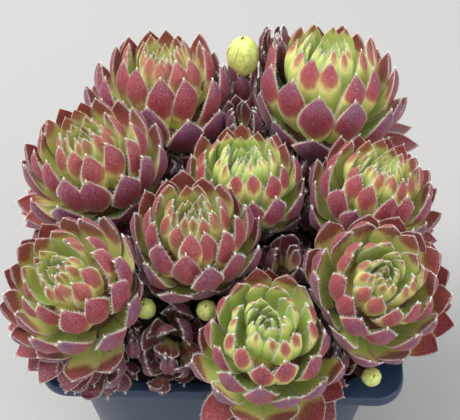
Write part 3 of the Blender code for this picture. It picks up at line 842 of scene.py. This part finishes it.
def leaf_material(name, colours):
    """Houseleek leaf: fleshy and water-filled under a tough skin with fine down on it. The skin
    gives a satin shine, the flesh lets a little light through, and the down a pale bloom."""
    material, tree, shader = new_material(name)
    place = add_node(tree, "Attribute", attribute_name="leaf_place").outputs["Vector"]
    look = add_node(tree, "Attribute", attribute_name="leaf_look").outputs["Vector"]
    across, along, _ = add_node(tree, "SeparateXYZ", {0: place}).outputs
    red, age, tint = add_node(tree, "SeparateXYZ", {0: look}).outputs
    where = add_node(tree, "TexCoord").outputs["Object"]

    # Blotches about 3 mm across, and streaks that follow the leaf's veins, 0.5 mm apart.
    blotch = add_node(tree, "TexNoise", {0: where, "Scale": 330, "Detail": 3})
    veins = add_node(tree, "CombineXYZ", {0: across, 1: along, 2: tint})
    veins = add_node(tree, "Mapping", {0: veins, "Scale": (9, 1.6, 7)})
    veins = add_node(tree, "TexNoise", {0: veins, "Scale": 1, "Detail": 2})
    # Down: its hairs are far finer, and are drawn 0.35 mm apart so that they show.
    down = add_node(tree, "TexNoise", {0: where, "Scale": 3000, "Detail": 1})

    # How ripe the skin is, from green to purple.
    shift = add_node(tree, "Math", {0: blotch, 1: 0.22, 2: -0.11}, operation="MULTIPLY_ADD")
    shift = add_node(tree, "Math", {0: tint, 1: 0.035, 2: shift}, operation="MULTIPLY_ADD")
    shift = add_node(tree, "Math", {0: veins, 1: 0.12, 2: shift}, operation="MULTIPLY_ADD")
    shift = add_node(tree, "Math", {0: shift, 1: 0.06}, operation="SUBTRACT")
    ripe = add_node(tree, "Math", {0: red, 1: shift}, operation="ADD")
    skin = add_node(tree, "ValToRGB", {0: ripe})
    ramp = skin.color_ramp
    stops = ((0.0, "green"), (0.16, "yellow_green"), (0.30, "rust"), (0.46, "rose"),
             (0.66, "burgundy"), (0.86, "purple"))
    for _ in range(len(stops) - 2):
        ramp.elements.new(0.5)
    for element, (position, shade) in zip(ramp.elements, stops):
        element.position = position
        element.color = rgba(colours[shade])

    # The crown's flesh is paler, and the oldest leaves dull to a dark wine red; the same dark red
    # on the core deep in each head is painted shade.
    fresh = add_node(tree, "MapRange", {0: age, 1: 0.0, 2: 0.5, 3: 0.75, 4: 0.0},
                     interpolation_type="SMOOTHSTEP")
    pale = add_node(tree, "MapRange", {0: red, 1: 0.0, 2: 0.4, 3: 1.0, 4: 0.15})
    fresh = add_node(tree, "Math", {0: fresh, 1: pale}, operation="MULTIPLY")
    old_and_shaded = add_node(tree, "MapRange", {0: age, 1: 0.80, 2: 1.15, 3: 0.0, 4: 0.75},
                    interpolation_type="SMOOTHSTEP")
    # The margin is pale and see-through, and the point too.
    edge = add_node(tree, "MapRange", {0: across, 1: 0.90, 2: 0.99, 3: 0.0, 4: 0.75},
                    interpolation_type="SMOOTHSTEP")
    upper = add_node(tree, "MapRange", {0: along, 1: 0.25, 2: 0.45, 3: 0.0, 4: 1.0})
    edge = add_node(tree, "Math", {0: edge, 1: upper}, operation="MULTIPLY")
    point = add_node(tree, "MapRange", {0: along, 1: 0.955, 2: 1.0, 3: 0.0, 4: 0.8})
    edge = add_node(tree, "Math", {0: edge, 1: point}, operation="MAXIMUM")
    specks = add_node(tree, "MapRange", {0: down, 1: 0.45, 2: 0.75, 3: 0.0, 4: 0.26})
    for share, shade in ((fresh, "crown"), (old_and_shaded, "old"), (edge, "margin"), (specks, "down")):
        skin = add_node(tree, "Mix", {0: share, 6: skin, 7: rgba(colours[shade])},
                        data_type="RGBA")
    grain = add_node(tree, "Bump", {"Height": down, "Strength": 0.35, "Distance": 0.10 * MM})
    grain = add_node(tree, "Bump", {"Height": veins, "Strength": 0.5, "Distance": 0.25 * MM,
                                    "Normal": grain})
    feed(tree, shader, {
        "Base Color": skin, "Normal": grain, "Roughness": 0.46, "IOR": 1.42,
        "Subsurface Weight": 0.18, "Subsurface Radius": (1.0, 0.45, 0.25),
        "Subsurface Scale": 1.2 * MM, "Sheen Weight": 0.20, "Sheen Roughness": 0.4,
    })
    return material


def plain_material(name, light, dark, grain_mm, roughness, bump_mm, subsurface=0.0):
    """A material that drifts between two colours over a grain of that size."""
    material, tree, shader = new_material(name)
    where = add_node(tree, "TexCoord").outputs["Object"]
    grain = add_node(tree, "TexNoise", {0: where, "Scale": 1 / (grain_mm * MM), "Detail": 4})
    mixed = add_node(tree, "MapRange", {0: grain, 1: 0.35, 2: 0.65})
    mixed = add_node(tree, "Mix", {0: mixed, 6: rgba(dark), 7: rgba(light)}, data_type="RGBA")
    bumps = add_node(tree, "Bump", {"Height": grain, "Strength": 0.6, "Distance": bump_mm * MM})
    feed(tree, shader, {
        "Base Color": mixed, "Normal": bumps, "Roughness": roughness,
        "Subsurface Weight": subsurface, "Subsurface Scale": 1 * MM,
    })
    return material


def pot_material(settings):
    """Moulded polypropylene: an even, slightly waxy shine that dust and handling break up."""
    material, tree, shader = new_material("Polypropylene, moulded")
    where = add_node(tree, "TexCoord").outputs["Object"]
    cloud = add_node(tree, "TexNoise", {0: where, "Scale": 60, "Detail": 5})
    dust = add_node(tree, "MapRange", {0: cloud, 1: 0.50, 2: 0.75, 3: 0.0, 4: 0.30})
    mixed = add_node(tree, "Mix", {0: dust, 6: rgba(settings.plastic), 7: rgba(settings.dust)},
                     data_type="RGBA")
    rough = add_node(tree, "MapRange", {0: cloud, 1: 0.3, 2: 0.7, 3: 0.28, 4: 0.46})
    # The mould's fine spark-eroded grain, drawn at 0.6 mm so that it shows.
    grain = add_node(tree, "TexNoise", {0: where, "Scale": 1600, "Detail": 2})
    bump = add_node(tree, "Bump", {"Height": grain, "Strength": 0.25, "Distance": 0.05 * MM})
    feed(tree, shader, {"Base Color": mixed, "Roughness": rough, "Normal": bump, "IOR": 1.49})
    return material


def colour(name, description, code):
    """A setting that holds a colour, from its sRGB hex value."""
    return FloatVectorProperty(name=name, description=description, subtype="COLOR", size=3,
                               min=0, max=1, default=linear(code))


def amount(name, description, value, subtype="NONE", least=0.0):
    """A setting that holds a length, a power or a plain number."""
    return FloatProperty(name=name, description=description, subtype=subtype, min=least,
                         default=value)


def number(name, description, count):
    """A setting that holds a count."""
    return IntProperty(name=name, description=description, min=0, default=count)


class LeafSettings(bpy.types.PropertyGroup):
    green: colour("Green", "Leaf bases", "#aecb58")
    yellow_green: colour("Yellow green", "Where green meets red", "#d8d07c")
    rust: colour("Rust", "The first flush of red", "#a0583f")
    rose: colour("Rose", "The middle of the red", "#932f38")
    burgundy: colour("Burgundy", "Most of the outer faces", "#7e2637")
    purple: colour("Purple", "The leaves' upper ends", "#683956")
    # Old red: the oldest leaves' own colour, and painted shade on the core deep in each head.
    old: colour("Old red", "The oldest leaves", "#4c2032")
    crown: colour("Crown", "The youngest leaves", "#c3d67c")
    margin: colour("Margin", "Margins and points", "#cdbb9a")
    down: colour("Down", "The fine down on the skin", "#d8b9b4")
    hair: colour("Hairs", "The hairs of margins and points", "#efe9e0")
    hair_length: amount("Hair length", "Of the hairs along the margins", 0.8 * MM, "DISTANCE")
    hair_spacing: amount("Hair spacing", "Along the margins", 0.36 * MM, "DISTANCE", 0.1 * MM)
    hair_radius: amount("Hair radius", "At the hair's foot", 0.06 * MM, "DISTANCE")
    tuft_length: amount("Tuft length", "Of the hairs at a leaf's point", 1.1 * MM, "DISTANCE")
    young: number("Young leaves", "Added in each crown", 5)
    skirt: number("Old leaves", "Added under each rosette", 17)
    withered: colour("Withered", "The dry tufts", "#4a342c")


class OffsetSettings(bpy.types.PropertyGroup):
    light: colour("Light", "The offsets' lighter green", "#dedd80")
    dark: colour("Dark", "The offsets' darker green", "#b9bf62")
    down_count: number("Hairs", "On each small offset", 900)
    down_length: amount("Hair length", "Of the small offsets' down", 0.55 * MM, "DISTANCE")
    down_radius: amount("Hair radius", "At the hair's foot", 0.09 * MM, "DISTANCE")
    downy: amount("Downy under", "The radius of the largest offset with down", 4.0 * MM,
                  "DISTANCE")


class PotSettings(bpy.types.PropertyGroup):
    plastic: colour("Plastic", "The pot's blue-black", "#1e3148")
    dust: colour("Dust", "Dust and old lime on the pot", "#3a4f64")


class CompostSettings(bpy.types.PropertyGroup):
    light: colour("Light", "The lighter fibres", "#4a3a2c")
    dark: colour("Dark", "The darker peat", "#1f1712")
    crumbs: number("Crumbs", "Loose on the surface", 900)


class StageSettings(bpy.types.PropertyGroup):
    floor: colour("Floor", "The plain floor", "#a9a7a4")
    key: amount("Key light", "The large light from the upper left", 6.2, "POWER")
    fill: amount("Fill light", "The light from the right", 2.2, "POWER")
    sky: amount("Sky", "The even light from all round", 1.05)


class HENS_OT_rosettes(bpy.types.Operator):
    """Grow the nine rosettes over their solids"""

    bl_idname = "hens.rosettes"
    bl_label = "Grow Rosettes"

    def execute(self, context):
        sizes = context.scene.hens_leaf
        colours = {name: getattr(sizes, name) for name in LeafSettings.__annotations__}
        skin = leaf_material("Houseleek leaf, sun-reddened", colours)
        # Cilia: clear, stiff hairs that gather to a white fringe.
        hairs = plain_material("Cilia", sizes.hair, sizes.hair, 1, 0.6, 0.0, 0.2)
        # Houseleek stem: corky, scarred by shed leaves.
        bark = plain_material("Houseleek stem, corky", linear("#6e5238"), linear("#33241c"),
                              0.8, 0.9, 0.3)
        for head in ROSETTES:
            dice = random.Random(HAIR_SEED + HEADS.index(head))
            clumps = [clump for clump in CLUMPS + ADDED_CLUMPS if clump.part_of == head.name]
            leaves = leaves_of(head, sizes.young, sizes.skirt)
            for clump in clumps:
                young = sizes.young if clump in ADDED_CLUMPS else 0
                leaves += [
                    leaf._replace(age=CLUMP_AGES[0] + CLUMP_AGES[1] * leaf.age, green=OLD_GREEN)
                    for leaf in leaves_of(clump, young)
                ]
            if head is ROSETTES[0]:
                leaves += sheath_leaves(OFFSETS[0], SHEATH_LEAVES)
            fringe = hair_mesh([hair for leaf in leaves for hair in leaf_hairs(leaf, sizes, dice)])
            body = leaf_mesh(leaves, *ROSETTE_LEAF_FACES)
            add_core(body, head)
            for part in [head] + clumps:
                add_tube(body, stem_points(part, TUBE_STEPS), part.stem[0])
            finished(head.name + "_leaves", body, [skin, bark], SLOTS[head.name], head.name)
            finished(head.name + "_hairs", fringe, [hairs], SLOTS[head.name])

        # Withered leaf tips: papery, brown and curled, with their white hairs still on.
        dry = plain_material("Houseleek leaf, withered", sizes.withered, linear("#2a1c1a"), 0.6,
                             0.9, 0.1)
        dice = random.Random(TUFT_SEED)
        slivers = []
        for x, y, height in DRY_TUFTS:
            spot = Vector((x * MM, y * MM, RIM_TOP + height * MM))
            for _ in range(DRY_COUNT):
                way = Vector((either_way(dice, 1), either_way(dice, 1), dice.uniform(0.1, 1)))
                foot = spot + strayed(Vector(), dice, DRY_SPREAD) * MM
                tip = foot + way.normalized() * dice.uniform(*DRY_LENGTH) * MM
                slivers.append((foot, tip, DRY_THICKNESS * MM))
        finished("dry_tufts", hair_mesh(slivers), [dry], SLOTS["rosette_front"])
        return {"FINISHED"}


class HENS_OT_offsets(bpy.types.Operator):
    """Grow the four young offsets on their runners"""

    bl_idname = "hens.offsets"
    bl_label = "Grow Offsets"

    def down_hair(self, head, sizes, dice):
        """A hair that stands up from a small offset's skin."""
        matrix = head_matrix(head)
        radius = head.radius * MM
        way = Vector([dice.gauss(0, 1) for _ in range(3)]).normalized()
        wide, high = DOWN_FOOT
        foot = matrix @ (way * Vector((wide, wide, high * head.tall)) * radius)
        tip = foot + matrix.to_3x3() @ way * sizes.down_length * dice.uniform(*DOWN_LENGTHS)
        return foot, tip, sizes.down_radius

    def execute(self, context):
        sizes = context.scene.hens_offset
        # Young houseleek leaf: thin-skinned, pale with chlorophyll only just forming.
        skin = plain_material("Houseleek offset, unripe", sizes.light, sizes.dark, 1.2, 0.5,
                              0.12, 0.3)
        # Down on the offsets: white-green and dense.
        down = plain_material("Offset down", linear("#e9efcf"), linear("#d3ddae"), 1, 0.7, 0.0,
                              0.3)
        # Runner: a smooth stalk, wine red where the sun reaches it.
        runner = plain_material("Houseleek runner", linear("#7d4a45"), linear("#55303a"), 2,
                                0.6, 0.1, 0.1)
        for head in OFFSETS:
            dice = random.Random(DOWN_SEED + HEADS.index(head))
            body = leaf_mesh(bud_leaves(head), *BUD_LEAF_FACES)
            add_core(body, head)
            add_tube(body, stem_points(head, TUBE_STEPS), head.stem[0])
            finished(head.name + "_leaves", body, [skin, runner], SLOTS[head.name], head.name)
            if head.radius * MM < sizes.downy:
                down_on = [self.down_hair(head, sizes, dice) for _ in range(sizes.down_count)]
                finished(head.name + "_down", hair_mesh(down_on), [down], SLOTS[head.name])
        return {"FINISHED"}


class HENS_OT_pot(bpy.types.Operator):
    """Mould the pot with its rounded lip over its solid"""

    bl_idname = "hens.pot"
    bl_label = "Mould Pot"

    def execute(self, context):
        under_lip = POT_HEIGHT - LIP_HEIGHT
        shoulder = POT_WIDTH - 2 * LIP_OVERHANG

        def body(z):
            share = z / under_lip
            return (POT_FOOT_WIDTH + (shoulder - POT_FOOT_WIDTH) * share,
                    FOOT_CORNER + (SHOULDER_CORNER - FOOT_CORNER) * share)

        def inside(z):
            width, corner = body(z)
            return width - 2 * POT_WALL, corner - POT_WALL

        def lip(inset, z):
            return POT_WIDTH - 2 * inset, LIP_CORNER - inset, z

        def rounded(turn):
            return LIP_ROUND * (1 - math.sin(turn)), LIP_ROUND * (1 - math.cos(turn))

        foot_width, foot_corner = body(0)
        mouth_width, mouth_corner = inside(POT_HEIGHT)
        turns = [math.radians(90 * k / ROUND_STEPS) for k in range(1, ROUND_STEPS + 1)]
        # Each ring's width, corner and height, from the foot up over the lip and down inside.
        rings = [
            (foot_width - 2 * FOOT_BEVEL, foot_corner - FOOT_BEVEL, 0.0),
            (foot_width, foot_corner, FOOT_BEVEL_HEIGHT),
            (*body(under_lip), under_lip),
            lip(LIP_ROUND, under_lip),
        ]
        for outward, upward in map(rounded, turns):
            rings.append(lip(outward, under_lip + upward))
        for downward, inward in map(rounded, turns):
            rings.append(lip(inward, POT_HEIGHT - downward))
        rings += [
            (mouth_width + 2 * LIP_ROUND, mouth_corner + LIP_ROUND, POT_HEIGHT),
            (mouth_width, mouth_corner, POT_HEIGHT - LIP_ROUND),
            (*inside(POT_FLOOR), POT_FLOOR),
        ]
        mesh = bmesh.new()
        before = None
        first = None
        for width, corner, z in rings:
            made = bmesh.ops.create_circle(mesh, cap_ends=False,
                                           segments=4 * (CORNER_STEPS + 1), radius=1)
            for k, vertex in enumerate(made["verts"]):
                quarter, step = divmod(k, CORNER_STEPS + 1)
                facing = Matrix.Rotation(math.radians(90 * quarter), 3, "Z")
                angle = math.radians(90 * step / CORNER_STEPS)
                middle = Vector((width / 2 - corner, width / 2 - corner, z))
                spot = middle + Vector((math.cos(angle), math.sin(angle), 0)) * corner
                vertex.co = facing @ spot
            edges = edges_of(made)
            if before:
                bmesh.ops.bridge_loops(mesh, edges=before + edges)
            else:
                first = edges
            before = edges
        bmesh.ops.contextual_create(mesh, geom=first)
        bmesh.ops.contextual_create(mesh, geom=before)
        bmesh.ops.recalc_face_normals(mesh, faces=mesh.faces)
        pot = finished("pot_moulded", mesh, [pot_material(context.scene.hens_pot)],
                       SLOTS["pot"], "pot")
        drill = bmesh.new()
        for k in range(DRAIN_COUNT):
            turn = math.tau * (k + 0.5) / DRAIN_COUNT
            spot = Vector((math.cos(turn), math.sin(turn), 0)) * DRAIN_CIRCLE
            bmesh.ops.create_cone(drill, cap_ends=True, segments=32, radius1=DRAIN_RADIUS,
                                  radius2=DRAIN_RADIUS, depth=6 * POT_FLOOR,
                                  matrix=Matrix.Translation(spot))
        tool = mesh_object("drill", drill)
        holes = pot.modifiers.new("holes", "BOOLEAN")
        holes.operation = "DIFFERENCE"
        holes.object = tool
        context.view_layer.update()
        graph = context.evaluated_depsgraph_get()
        drilled = bpy.data.meshes.new_from_object(pot.evaluated_get(graph))
        pot.modifiers.clear()
        pot.data = drilled
        bpy.data.objects.remove(tool)
        drilled.shade_smooth()
        drilled.set_sharp_from_angle(angle=SHARP_ANGLE)
        return {"FINISHED"}


class HENS_OT_compost(bpy.types.Operator):
    """Fill the pot with crumbly compost over its solid"""

    bl_idname = "hens.compost"
    bl_label = "Fill Compost"

    def execute(self, context):
        sizes = context.scene.hens_compost
        dice = random.Random(CRUMB_SEED)
        # Peat compost: matte, dark and damp, in crumbs of 1 to 3 mm with paler fibres.
        peat = plain_material("Peat compost, damp", sizes.light, sizes.dark, 1.5, 0.95, 0.6)
        low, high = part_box("compost")
        soil_edge = RIM_TOP - SOIL_EDGE_DEPTH
        mesh = bmesh.new()
        made = bmesh.ops.create_cube(mesh, size=1)
        bmesh.ops.scale(mesh, verts=made["verts"],
                        vec=(high.x - low.x, high.y - low.y, soil_edge - low.z))
        bmesh.ops.translate(mesh, verts=made["verts"], vec=(0, 0, (soil_edge + low.z) / 2))
        corners = [edge for edge in mesh.edges
                   if abs(edge.verts[0].co.z - edge.verts[1].co.z) > 10 * MM]
        bmesh.ops.bevel(mesh, geom=corners, offset=SHOULDER_CORNER - POT_WALL, segments=6,
                        profile=0.5, affect="EDGES", material=-1)
        shrink = (POT_FOOT_WIDTH - 2 * POT_WALL - 2 * CLEAR) / (high.x - low.x)
        for vertex in mesh.verts:
            if vertex.co.z < 10 * MM:
                vertex.co.x *= shrink
                vertex.co.y *= shrink
        top = max(mesh.faces, key=lambda face: face.calc_center_median().z)
        rim = top.edges[:]
        bmesh.ops.delete(mesh, geom=[top], context="FACES_ONLY")
        loop = rim
        before = 1.0
        for share in SOIL_RINGS:
            grown = bmesh.ops.extrude_edge_only(mesh, edges=loop)["geom"]
            loop = only(bmesh.types.BMEdge, grown)
            ring = only(bmesh.types.BMVert, grown)
            bmesh.ops.scale(mesh, verts=ring, vec=(share / before, share / before, 1))
            for vertex in ring:
                vertex.co.z = soil_height(vertex.co.x, vertex.co.y)
            before = share
        bmesh.ops.contextual_create(mesh, geom=loop)
        upper = [face for face in mesh.faces
                 if face.calc_center_median().z > soil_edge + 0.01 * MM]
        edges = once_each(edge for face in upper for edge in face.edges)
        bmesh.ops.subdivide_edges(mesh, edges=edges, cuts=3, use_grid_fill=True)
        for vertex in mesh.verts:
            if vertex.co.z > soil_edge:
                bumps = sum(noise.noise(vertex.co * scale) * deep for scale, deep in SOIL_BUMPS)
                vertex.co.z = soil_height(vertex.co.x, vertex.co.y) + bumps * MM
        bmesh.ops.recalc_face_normals(mesh, faces=mesh.faces)
        finished("compost_bed", mesh, [peat], SLOTS["compost"], "compost")

        def lump(seed):
            bmesh.ops.create_icosphere(seed, subdivisions=1, radius=1)

        loose, groups = copies(lump, sizes.crumbs)
        for vertices in groups:
            angle = dice.uniform(0, math.tau)
            reach = CRUMB_REACH * math.sqrt(dice.random())
            x, y = reach * math.cos(angle), reach * math.sin(angle)
            size = dice.uniform(*CRUMB_SIZE) * MM
            spot = Vector((x, y, soil_height(x, y) + 0.3 * size))
            for vertex in vertices:
                lumpy = 1 + 0.5 * noise.noise(vertex.co * 1.5 + spot * 9000)
                vertex.co = spot + vertex.co * Vector((1, 1, 0.7)) * size * lumpy
        finished("compost_crumbs", loose, [peat], SLOTS["compost"])
        return {"FINISHED"}


class HENS_OT_stage(bpy.types.Operator):
    """Set the floor, the lights and the camera"""

    bl_idname = "hens.stage"
    bl_label = "Set Stage"

    def aimed(self, name, data, spot, aim):
        """A lamp or camera that stands at spot and looks at aim."""
        made = placed(name, data)
        made.location = spot
        way = Vector(aim) - made.location
        made.rotation_euler = way.to_track_quat("-Z", "Y").to_euler()
        return made

    def execute(self, context):
        sizes = context.scene.hens_stage
        scene = context.scene
        mesh = bmesh.new()
        bmesh.ops.create_grid(mesh, x_segments=1, y_segments=1, size=1.5)
        floor = mesh_object("floor", mesh)
        material, tree, shader = new_material("Painted board, matte")
        feed(tree, shader, {"Base Color": rgba(sizes.floor), "Roughness": 0.85})
        floor.data.materials.append(material)

        world = bpy.data.worlds.new("studio")
        world.use_nodes = True
        feed(world.node_tree, world.node_tree.nodes["Background"],
             {"Color": rgba(SKY_COLOUR), "Strength": sizes.sky})
        scene.world = world
        for name, (spot, size) in LAMPS.items():
            lamp = bpy.data.lights.new(name, "AREA")
            lamp.size = size
            lamp.energy = getattr(sizes, name)
            self.aimed(name, lamp, spot, LAMP_AIM)

        lens = bpy.data.cameras.new("camera")
        lens.sensor_width = SENSOR_WIDTH
        lens.lens = FOCAL_PIXELS / PHOTO_PIXELS * SENSOR_WIDTH
        lens.clip_start = 0.01
        scene.camera = self.aimed("camera", lens, CAMERA_SPOT, CAMERA_AIM)
        scene.view_settings.view_transform = "Standard"
        return {"FINISHED"}


class HENS_PT_panel(bpy.types.Panel):
    """The pot of houseleeks, piece by piece"""

    bl_idname = "HENS_PT_panel"
    bl_label = "Hens and Chicks"
    bl_space_type = "VIEW_3D"
    bl_region_type = "UI"
    bl_category = "Houseleeks"

    def draw(self, context):
        for owner, group, operator in PARTS:
            box = self.layout.box()
            for name in group.__annotations__:
                box.prop(getattr(context.scene, owner), name)
            box.operator(operator.bl_idname)


# Where the scene keeps each part's settings, the settings, and the operator that makes the part.
PARTS = (
    ("hens_pot", PotSettings, HENS_OT_pot),
    ("hens_compost", CompostSettings, HENS_OT_compost),
    ("hens_leaf", LeafSettings, HENS_OT_rosettes),
    ("hens_offset", OffsetSettings, HENS_OT_offsets),
    ("hens_stage", StageSettings, HENS_OT_stage),
)


def register():
    for owner, group, operator in PARTS:
        bpy.utils.register_class(group)
        bpy.utils.register_class(operator)
        setattr(bpy.types.Scene, owner, PointerProperty(type=group))
    bpy.utils.register_class(HENS_PT_panel)


def unregister():
    bpy.utils.unregister_class(HENS_PT_panel)
    for owner, group, operator in reversed(PARTS):
        delattr(bpy.types.Scene, owner)
        bpy.utils.unregister_class(operator)
        bpy.utils.unregister_class(group)


def main():
    register()
    bpy.ops.hens.pot()
    bpy.ops.hens.compost()
    bpy.ops.hens.rosettes()
    bpy.ops.hens.offsets()
    bpy.ops.hens.stage()
    bpy.context.view_layer.update()


if __name__ == "__main__":
    main()
